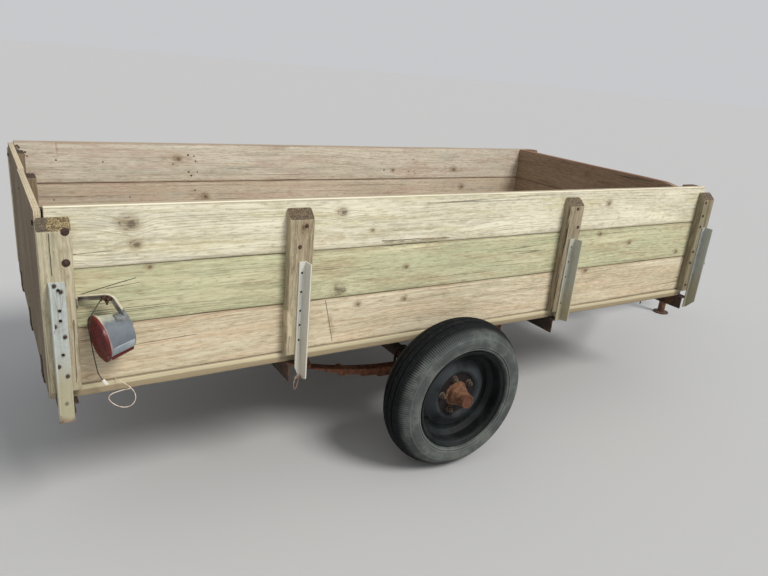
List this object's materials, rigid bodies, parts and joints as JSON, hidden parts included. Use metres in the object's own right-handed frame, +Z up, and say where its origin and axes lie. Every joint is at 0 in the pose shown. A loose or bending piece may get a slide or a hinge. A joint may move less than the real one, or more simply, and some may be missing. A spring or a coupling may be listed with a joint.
{
  "type": "utility trailer",
  "caption": "Single-axle stake-side utility trailer with a plank deck, board sides on bolted stakes, a drop tailgate, leaf springs, and a tongue with coupler and stand.",
  "frame": {"origin": "on the ground, under the middle of the whole trailer's box", "axes": "+X forward towards the coupler, +Y to the trailer's left, +Z up"},
  "size_m": [4.328, 1.806, 1.091],
  "materials": {
    "deck_boards": "sawn, weathered",
    "side_boards": "sawn treated pine",
    "front_boards": "sawn, dark weathered",
    "stake_wood": "sawn, weathered",
    "gate_plywood": "grey weathered plywood",
    "galvanised_angle": "dull galvanised",
    "frame_steel": "rusted",
    "tongue_steel": "worn paint over rust",
    "spring_steel": "rusted",
    "hub_iron": "rusted casting",
    "wheel_paint": "worn black",
    "tyre": "dusty rubber",
    "hinge_steel": "rusted",
    "lamp_bucket": "chalky grey paint",
    "lamp_lens": "faded red lens",
    "strap_steel": "dull zinc",
    "lead_rubber": "dull",
    "wire_cover": "faded",
    "plug_plastic": "satin"
  },
  "bodies": {
    "chassis": {"deck_planks": "deck_boards", "side_board_right_low": "side_boards", "side_board_right_middle": "side_boards", "side_board_right_top": "side_boards", "side_board_left_low": "side_boards", "side_board_left_middle": "side_boards", "side_board_left_top": "side_boards", "front_boards": "front_boards", "front_corner_posts": "stake_wood", "wooden_stakes_right": "stake_wood", "wooden_stakes_left": "stake_wood", "steel_stakes_right": "galvanised_angle", "steel_stakes_left": "galvanised_angle", "cross_member_1": "frame_steel", "cross_member_2": "frame_steel", "cross_member_3": "frame_steel", "cross_member_4": "frame_steel", "rail_right": "frame_steel", "rail_left": "frame_steel", "tongue": "tongue_steel", "tongue_braces": "tongue_steel", "coupler": "tongue_steel", "stand_sleeve": "tongue_steel", "axle": "frame_steel", "spring_right": "spring_steel", "spring_left": "spring_steel", "spring_hangers": "spring_steel", "axle_clamps": "spring_steel", "fixed_hinges": "hinge_steel", "lamp_housings": "lamp_bucket", "lamp_lenses": "lamp_lens", "lamp_brackets": "strap_steel", "lamp_lead": "lead_rubber", "lamp_plug": "plug_plastic", "ground_wire": "wire_cover"},
    "right_wheel": {"hub_right": "hub_iron", "wheel_right": "wheel_paint", "tyre_right": "tyre"},
    "left_wheel": {"hub_left": "hub_iron", "wheel_left": "wheel_paint", "tyre_left": "tyre"},
    "tailgate": {"gate_panels": "gate_plywood", "gate_battens": "stake_wood", "gate_straps": "hinge_steel"},
    "stand": {"stand_leg": "tongue_steel"}
  },
  "joints": [
    {"name": "right_wheel_spin", "type": "hinge", "parent": "chassis", "child": "right_wheel", "pos_m": [-0.722, -0.804, 0.316], "axis": [0, 1, 0], "continuous": true},
    {"name": "left_wheel_spin", "type": "hinge", "parent": "chassis", "child": "left_wheel", "pos_m": [-0.722, 0.804, 0.316], "axis": [0, 1, 0], "continuous": true},
    {"name": "tailgate_swing", "type": "hinge", "parent": "chassis", "child": "tailgate", "pos_m": [-2.156, 0, 0.486], "axis": [0, -1, 0], "range_deg": [0, 140]},
    {"name": "stand_slide", "type": "slide", "parent": "chassis", "child": "stand", "axis": [0, 0, 1], "range_m": [0, 0.25]}
  ]
}
